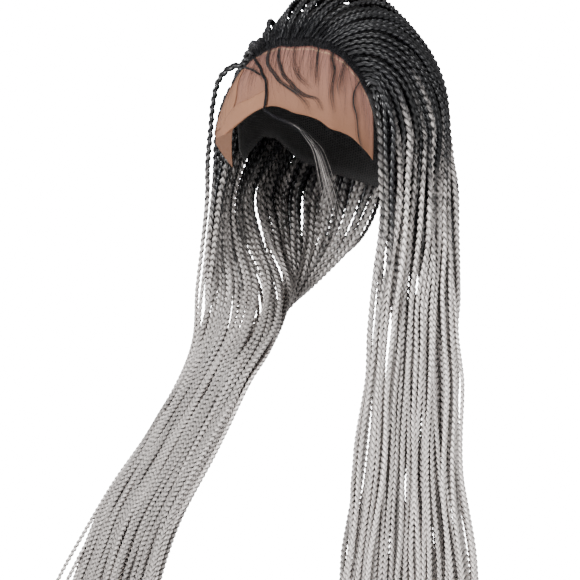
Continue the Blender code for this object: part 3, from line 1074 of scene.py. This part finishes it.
class WIG_OT_lace(Operator):
    """Make the sheer lace front, folded on itself at its free corner"""

    bl_idname = "wig.lace"
    bl_label = "Lace front"

    columns: IntProperty(name="Columns", description="Steps along the hairline", default=150)
    lines: IntProperty(name="Lines", description="Steps down the forehead", default=36)

    def execute(self, context):
        material = lace_material(context.scene.wig_lace)

        def lace_piece(name, rows, shades, wall):
            bm, _ = extruded_rows([row.tolist() for row in rows], closed=False, shades=shades)
            return finish_sheet(name, bm, material, LACE_SLOT, wall)

        directions = np.linspace(LACE_EDGE[-1, 0], LACE_EDGE[0, 0], self.columns)
        shares = np.linspace(0.0, 1.0, self.lines)
        lace = lace_piece("lace_net", [lace_line(directions, share) for share in shares],
                          [(share, 0.0, 0.0, 1.0) for share in shares], NET_WALL)
        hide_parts("lace_front")
        for name, lines, flat in (("lace_fold", LACE_FOLD, (0.062, 0.018)),
                                  ("lace_border", LACE_BORDER, (0.056, 0.022))):
            places = blended_lines(lines, *STRIP_STEPS)
            rows = [on_lace(*line.T, STRIP_RISE) for line in places]
            fold = lace_piece(name, rows, [(1.0, 1.0, 0.0, 1.0)] * len(rows), STRIP_WALL)
        rows = [head_points(*line.T) for line in blended_lines(LACE_TAB, *TAB_STEPS)]
        # The tab's third shade paints shade on it
        tab = lace_piece("lace_tab", rows, [(1.0, 0.0, 1.0, 1.0)] * len(rows), STRIP_WALL)
        return {"FINISHED"}


class WIG_OT_plaits(Operator):
    """Lay the plaits of every lock"""

    bl_idname = "wig.plaits"
    bl_label = "Plaits"

    seed: IntProperty(name="Seed", description="Seed of the plaits' small differences", default=7)

    def execute(self, context):
        settings = context.scene.wig_plaits
        material = hair_material("plaited_hair", settings)
        for side, side_name in ((1, "left"), (-1, "right")):
            for back, row_name in ((0, "front"), (1, "back")):
                sheet = HairSheet(side, back)
                stem = f"{side_name}_{row_name}"
                for number in range(LOCKS_IN_ROW):
                    rng = Random(f"{self.seed} {side_name} {row_name} {number}")
                    joined = lock_plaits(sheet, number, settings, rng, (side_name, row_name))
                    piece = joined.build(f"{stem}_plaits_{number + 1:02d}", material)
                    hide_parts(f"{stem}_lock_{number + 1:02d}")
        return {"FINISHED"}


def hairline_place(place):
    """Direction along the hairline from the right temple, 0, to the left temple, 1."""
    return -180.0 - HAIRLINE_START + (180.0 + 2 * HAIRLINE_START) * np.asarray(place, float)


STRAND_SIDES = 3
# Thickness of a strand at places along it, as a share
STRAND_TAPER = ((0, 0.1, 0.7, 1), (0.7, 1, 0.9, 0.12))
# A direction that no strand follows, and the length of hair in one unit of its UV map
OFF_STRAND = (0.31, 0.52, 0.79)
STRAND_UNIT = 0.004


def add_strand(joined, points, radius, spread, fade, rng):
    """A fine strand along a route, tapering to its tip, its radius drawn from a spread."""
    radius = radius * rng.uniform(*spread)
    tone = rng.random()
    points = np.asarray(points, float)
    forward = unit(np.gradient(points, axis=0))
    first = unit(np.cross(forward, OFF_STRAND))
    second = np.cross(forward, first)
    taper = np.interp(np.linspace(0, 1, len(points)), *STRAND_TAPER) * radius
    turn = np.arange(STRAND_SIDES) / STRAND_SIDES * 2 * math.pi + rng.uniform(0, 2)
    rings = (points[:, None, :]
             + first[:, None, :] * (np.cos(turn) * taper[:, None])[..., None]
             + second[:, None, :] * (np.sin(turn) * taper[:, None])[..., None])
    fade = np.asarray(fade, float).reshape(-1, 1)
    joined.add_tube(rings, along(points) / STRAND_UNIT, fade, 0.0, tone, 1.0)


# Root hair: points of a strand, length of the swept line that its place is a share of, spread of
# its length, and the share of the left hairline where it is longer, with what it gains there
ROOT_POINTS, SWEPT_LENGTH, ROOT_SPREAD = 7, 0.16, (0.30, 1.35)
LONG_SHARE, LONG_GAIN = 0.30, 0.9
# Scatter of a root's place in its row and of its direction in degrees, and how far it lies outside
# the hairline: middle and spread, and how far inside at most
PLACE_SCATTER, ROOT_STRAY = 0.004, 3.2
ROOT_OUT, ROOT_IN = (0.0004, 0.0010), 0.0012
# Height of a strand above the cap at its root, what it gains, and the most that it sinks again
ROOT_HEIGHT, ROOT_PUFF, ROOT_SINK = 0.0004, (0.0022, 0.0066), 0.0025


class WIG_OT_root_hair(Operator):
    """Comb the straight root hair up from the hairline into the plaits"""

    bl_idname = "wig.root_hair"
    bl_label = "Root hair"

    seed: IntProperty(name="Seed", description="Seed of the strands' differences", default=21)

    def execute(self, context):
        settings, plaits = context.scene.wig_hair, context.scene.wig_plaits
        rng = Random(self.seed)
        joined = JoinedMesh()
        for _ in range(settings.root_count):
            side = rng.choice((1, -1))
            back = rng.random() < 0.5
            sheet_place = (rng.random() + back) / 2 + rng.gauss(0, PLACE_SCATTER)
            sheet_place = min(max(sheet_place, 0.0), 1.0)
            length = settings.root_length * rng.uniform(*ROOT_SPREAD)
            length *= 1.0 + LONG_GAIN * max(0.0, 1.0 - sheet_place / LONG_SHARE) * (side > 0)
            shares = np.linspace(0, 1, ROOT_POINTS)
            direction, angle = swept_places(sheet_place, shares * length / SWEPT_LENGTH)
            stray = rng.gauss(0, ROOT_STRAY) * shares ** 1.3
            outside = max(rng.gauss(*ROOT_OUT), -ROOT_IN)
            root = float(rim_angle(direction[0])) + math.degrees(outside / CROWN_HEIGHT)
            angle = angle + (root - angle[0]) * (1 - shares) ** 2
            puff = rng.uniform(*ROOT_PUFF) * np.sin(np.minimum(shares * 1.25, 1) * math.pi / 2)
            height = CAP_WALL + ROOT_HEIGHT + puff - rng.uniform(0.0, ROOT_SINK) * shares ** 3
            points = head_points(direction + stray, angle, height) * np.array((side, 1, 1))
            add_strand(joined, points, settings.thickness / 2, (0.7, 1.4), 0.0, rng)
        joined.build("root_hair", hair_material("fine_hair", plaits))
        return {"FINISHED"}


# Locks of baby hair: strands, half width in degrees, and places of direction and angle
BABY_LOCKS = (
    (15, 0.30, ((-131, 61.5), (-124, 61.8), (-116, 62.5), (-109.5, 64), (-106, 65.5), (-103, 68))),
    (22, 0.34, ((-113, 50.5), (-108.3, 57.4), (-102.7, 61.2), (-97.3, 63.9), (-93.2, 66.6),
                (-87.6, 68.9), (-81.1, 71.6), (-76.7, 74.1), (-74.2, 76.2), (-71.7, 80.0),
                (-70.4, 84.2))),
    (18, 0.32, ((-102.5, 50.0), (-98.7, 55.6), (-94.7, 59.6), (-90.7, 63.4), (-84.7, 67.1),
                (-80.1, 70.3), (-74.5, 72.8), (-68.3, 74.2), (-65.3, 77.9), (-62.5, 83.0))),
    (11, 0.40, ((-70.0, 49.5), (-69.5, 57.6), (-69.1, 64.3), (-68.0, 70.0))),
    (11, 0.35, ((-60.0, 51.5), (-59.8, 56.1), (-58.6, 61.5), (-60.1, 69.3), (-60.0, 74.6),
                (-58.9, 79.6), (-58.3, 83.8))),
    (13, 0.32, ((-42.1, 65.5), (-46.6, 71.0), (-47.4, 76.2), (-46.0, 81.8), (-45.6, 86.8),
                (-44.6, 92.3), (-42.4, 96.9), (-38.5, 100.0))),
    (10, 0.40, ((-51, 56), (-54, 63), (-55, 69), (-53, 75))),
    (8, 0.30, ((-88, 49.5), (-86, 56), (-81, 63), (-74, 68), (-69, 71))),
)
# How far strands of a lock lie beside its line and turn from it, in half widths
LOCK_SHIFT, LOCK_TURN = 1.7, 2.6
# Points of a strand in the locks, in the long lock and of a single one
LOCK_POINTS, LONG_POINTS, BABY_POINTS = 30, 52, 12
# Shares of their route that strands reach, where along the long lock grey starts and the share
# over which it comes, and how grey it gets
LOCK_REACH, LONG_REACH = (0.84, 1.0), (0.72, 1.0)
GREY_FROM, GREY_OVER, GREYNESS = (0.38, 0.70), 0.15, (0.5, 0.95)
# Single strands in degrees: how far above the hairline they start, how far down they reach, as
# least, most and usual, and the spread of their lean
BABY_START, BABY_REACH, BABY_LEAN = 1.5, (6.0, 34.0, 20.0), 2.6
# The long lock: places on the lace, then points in front of the face in metres
LONG_LOCK_ON_LACE = (
    (-127.3, 55.5), (-117.7, 58.0), (-111.1, 60.6), (-106.9, 63.8), (-103.4, 65.6),
    (-101.3, 68.3), (-99.5, 73.1), (-99.1, 77.0), (-99.3, 79.1),
)
LONG_LOCK_HANGING = (
    (-0.0083, -0.1010, -0.0863), (-0.0001, -0.1040, -0.0900), (0.0059, -0.1050, -0.0918),
    (0.0129, -0.1060, -0.0940), (0.0189, -0.1070, -0.0962), (0.0258, -0.1080, -0.0999),
    (0.0329, -0.1080, -0.1068), (0.0401, -0.1080, -0.1151), (0.0467, -0.1070, -0.1359),
    (0.0542, -0.1060, -0.1630), (0.0640, -0.1040, -0.2034),
)
LONG_STRANDS = 26
# Spread of the long lock's strands on the lace and, grown to the tip, in front of the face
LONG_SPREAD, LONG_SPLAY = (0.0006, 0.0004, 0.0006), (0.0046, 0.003, 0.002)
# Height of the baby hair above the lace, and what the long lock adds
LACE_RISE, LONG_RISE = 0.0016, 0.0012
# How strongly single strands are swept, by their direction
SWEPT_STRANDS = ((-125, -108, -88, -75), (0.2, 1.0, 0.8, 0.1))


class WIG_OT_baby_hair(Operator):
    """Comb the baby hair down over the lace, with its swept locks"""

    bl_idname = "wig.baby_hair"
    bl_label = "Baby hair"

    seed: IntProperty(name="Seed", description="Seed of the strands' differences", default=33)

    def execute(self, context):
        settings, plaits = context.scene.wig_hair, context.scene.wig_plaits
        rng = Random(self.seed)
        joined = JoinedMesh()
        radius = settings.thickness / 2
        for strands, spread, places in BABY_LOCKS:
            for _ in range(strands):
                shift, turn = rng.gauss(0, spread * LOCK_SHIFT), rng.gauss(0, spread * LOCK_TURN)
                route = smooth_route([(a + shift + turn * i / len(places), b - shift * 0.5)
                                      for i, (a, b) in enumerate(places)], LOCK_POINTS)
                route = route[: int(LOCK_POINTS * rng.uniform(*LOCK_REACH))]
                points = on_lace(*route.T, LACE_RISE + rng.uniform(0, 0.0008))
                add_strand(joined, points, radius, (0.38, 0.80), 0.02, rng)
        places = np.array(LONG_LOCK_ON_LACE)
        lace_points = list(on_lace(*places.T, LACE_RISE + LONG_RISE))
        last = len(LONG_LOCK_HANGING) - 1
        for _ in range(LONG_STRANDS):
            shift, splay = (np.array([rng.gauss(0, reach) for reach in spread])
                            for spread in (LONG_SPREAD, LONG_SPLAY))
            keys = [point + shift for point in lace_points]
            keys += [np.array(point) + shift + splay * (i / last) ** 3.0
                     for i, point in enumerate(LONG_LOCK_HANGING)]
            route = smooth_route(keys, LONG_POINTS)[: int(LONG_POINTS * rng.uniform(*LONG_REACH))]
            grey_from = rng.uniform(*GREY_FROM)
            fade = np.interp(np.arange(len(route)) / LONG_POINTS,
                             (grey_from, grey_from + GREY_OVER), (0.0, rng.uniform(*GREYNESS)))
            add_strand(joined, route, radius, (0.5, 0.95), fade, rng)
        for _ in range(settings.baby_count):
            direction = float(hairline_place(rng.random()))
            top = float(rim_angle(direction)) - rng.uniform(0.0, BABY_START)
            reach = rng.triangular(*BABY_REACH)
            swept = np.interp(direction, *SWEPT_STRANDS)
            lean = rng.gauss(0, BABY_LEAN) + swept * rng.uniform(0.2, 1.0) * reach * 0.8
            shares = np.linspace(0, 1, BABY_POINTS)
            points = on_lace(direction + lean * shares ** 1.6, top + reach * shares,
                             LACE_RISE + rng.uniform(-0.0004, 0.0006))
            add_strand(joined, points, radius, (0.22, 0.52), 0.03, rng)
        joined.build("baby_hair", hair_material("fine_hair", plaits))
        return {"FINISHED"}


# Loose plaits in front of the right ear: points in tenths of a millimetre
LOOSE_PLAITS = (
    ("loose_plait_outer", (
        (-580, -550, -500), (-710, -560, -520), (-820, -570, -620), (-870, -590, -820),
        (-890, -600, -1050), (-920, -600, -1300), (-930, -600, -1630), (-980, -600, -2020),
        (-1050, -580, -2400), (-1090, -580, -2850), (-1220, -620, -3210), (-1510, -720, -3730),
        (-1760, -840, -4130), (-1950, -970, -4510), (-2170, -1150, -5010), (-2380, -1240, -5550),
        (-2440, -1280, -5850))),
    ("loose_plait_inner", (
        (-620, -500, -560), (-780, -520, -780), (-850, -550, -1060), (-870, -580, -1500),
        (-920, -610, -2000), (-1000, -600, -2500), (-1060, -600, -2900), (-1240, -640, -3300),
        (-1500, -740, -3800), (-1780, -900, -4300), (-2000, -1060, -4800), (-2200, -1200, -5300),
        (-2320, -1260, -5700))),
    ("loose_plait_near", (
        (-600, -440, -560), (-766, -465, -780), (-836, -495, -1060), (-856, -525, -1500),
        (-900, -555, -2000), (-970, -545, -2500), (-1025, -550, -2900), (-1200, -590, -3300),
        (-1450, -700, -3800), (-1730, -860, -4300), (-1950, -1020, -4800), (-2150, -1160, -5300),
        (-2270, -1220, -5720))),
)
LOOSE_POINTS, LOOSE_FULLNESS, LOOSE_TONE = 220, 1.15, 0.5
LOOSE_FACING = (-0.5, -0.8, 0.0)


class WIG_OT_loose_plaits(Operator):
    """Hang the loose plaits that stand off the right side"""

    bl_idname = "wig.loose_plaits"
    bl_label = "Loose plaits"

    def execute(self, context):
        settings = context.scene.wig_plaits
        material = hair_material("plaited_hair", settings)
        for name, keys in LOOSE_PLAITS:
            points = smooth_route(np.array(keys) / 10000, LOOSE_POINTS)
            normals = np.broadcast_to(LOOSE_FACING, points.shape)
            widths = np.interp(points[:, 2], (LOWER_LEVEL, CROWN_LEVEL),
                               (settings.width, settings.crown_width * LOOSE_FULLNESS))
            joined = JoinedMesh()
            add_plait(joined, points, unit(normals), widths, settings, Random(name), OUTER_RINGS,
                      LOOSE_TONE)
            joined.build(name, material)
        return {"FINISHED"}


CAMERA_TARGET = Vector((-0.0349, -0.0201, -0.241))
FLOOR_RADIUS = 8.0
# Lights: name, place, size, power and the point that each one faces
LIGHTS = (
    ("key", (-0.2, -1.9, 0.6), 0.7, 86.0, (0, 0, -0.30)),
    ("fill", (2.0, -0.7, 0.3), 0.9, 30.0, (0, 0, -0.25)),
    ("rim", (-1.7, -0.2, 0.3), 0.9, 14.0, (0, 0, -0.25)),
    ("top", (0.3, 0.2, 1.7), 0.9, 20.0, (0, 0, -0.1)),
)


def placed_facing(name, data, place, back):
    """A camera or light at a place, with a direction behind it."""
    thing = placed(name, data)
    thing.location = place
    thing.rotation_euler = back.to_track_quat("Z", "Y").to_euler()
    return thing


class WIG_OT_stage(Operator):
    """Set the floor, soft lights and camera"""

    bl_idname = "wig.stage"
    bl_label = "Stage"

    def execute(self, context):
        settings = context.scene.wig_stage
        back = Vector((
            math.sin(settings.turn) * math.cos(settings.rise),
            -math.cos(settings.turn) * math.cos(settings.rise),
            math.sin(settings.rise)))
        camera = bpy.data.cameras.new("camera")
        camera.lens = settings.lens
        camera.sensor_width = 36.0
        camera.clip_end = 50.0
        context.scene.camera = placed_facing(
            "camera", camera, CAMERA_TARGET + back * settings.distance, back)
        bm = bmesh.new()
        bmesh.ops.create_circle(bm, cap_ends=True, segments=96, radius=FLOOR_RADIUS)
        mesh = mesh_from("floor", bm)
        mesh.transform(Matrix.Translation((0, 0, CAD_BOX[0][2] - settings.floor_gap)))
        mesh.materials.append(floor_material(settings.backdrop))
        placed("floor", mesh)
        for name, place, size, power, aim in LIGHTS:
            light = bpy.data.lights.new(name, "AREA")
            light.energy = power
            light.size = size
            placed_facing(name, light, place, Vector(place) - Vector(aim))
        world = bpy.data.worlds.new("white")
        world.use_nodes = True
        sheet = NodeSheet(world.node_tree)
        seen = sheet.add("ShaderNodeLightPath")["Is Camera Ray"]
        strength = sheet.maths("ADD", settings.soft_light, sheet.maths(
            "MULTIPLY", seen, settings.backdrop - settings.soft_light))
        sheet.fill(world.node_tree.nodes["Background"], {
            "Color": (1, 1, 1, 1), "Strength": strength})
        context.scene.world = world
        return {"FINISHED"}


class WIG_PT_panel(Panel):
    """Sizes and steps of the braid wig"""

    bl_idname = "WIG_PT_panel"
    bl_label = "Braid Wig"
    bl_space_type = "VIEW_3D"
    bl_region_type = "UI"
    bl_category = "Braid Wig"

    def draw(self, context):
        for operator in OPERATORS:
            self.layout.operator(operator.bl_idname)
        for group_name in SETTINGS:
            group, box = getattr(context.scene, group_name), self.layout.box()
            for name in group.__annotations__:
                box.prop(group, name)


OPERATORS = (WIG_OT_stage, WIG_OT_cap, WIG_OT_lace, WIG_OT_plaits, WIG_OT_loose_plaits,
             WIG_OT_root_hair, WIG_OT_baby_hair)
SETTINGS = {
    "wig_plaits": PlaitSettings, "wig_lace": LaceSettings, "wig_hair": FineHairSettings,
    "wig_stage": StageSettings,
}
CLASSES = (*SETTINGS.values(), *OPERATORS, WIG_PT_panel)


def register():
    for kind in CLASSES:
        bpy.utils.register_class(kind)
    for name, kind in SETTINGS.items():
        setattr(bpy.types.Scene, name, PointerProperty(type=kind))


def unregister():
    for name in SETTINGS:
        delattr(bpy.types.Scene, name)
    for kind in reversed(CLASSES):
        bpy.utils.unregister_class(kind)


def main():
    register()
    bpy.ops.wig.stage()
    bpy.ops.wig.cap()
    bpy.ops.wig.lace()
    bpy.ops.wig.plaits()
    bpy.ops.wig.loose_plaits()
    bpy.ops.wig.root_hair()
    bpy.ops.wig.baby_hair()


if __name__ == "__main__":
    main()
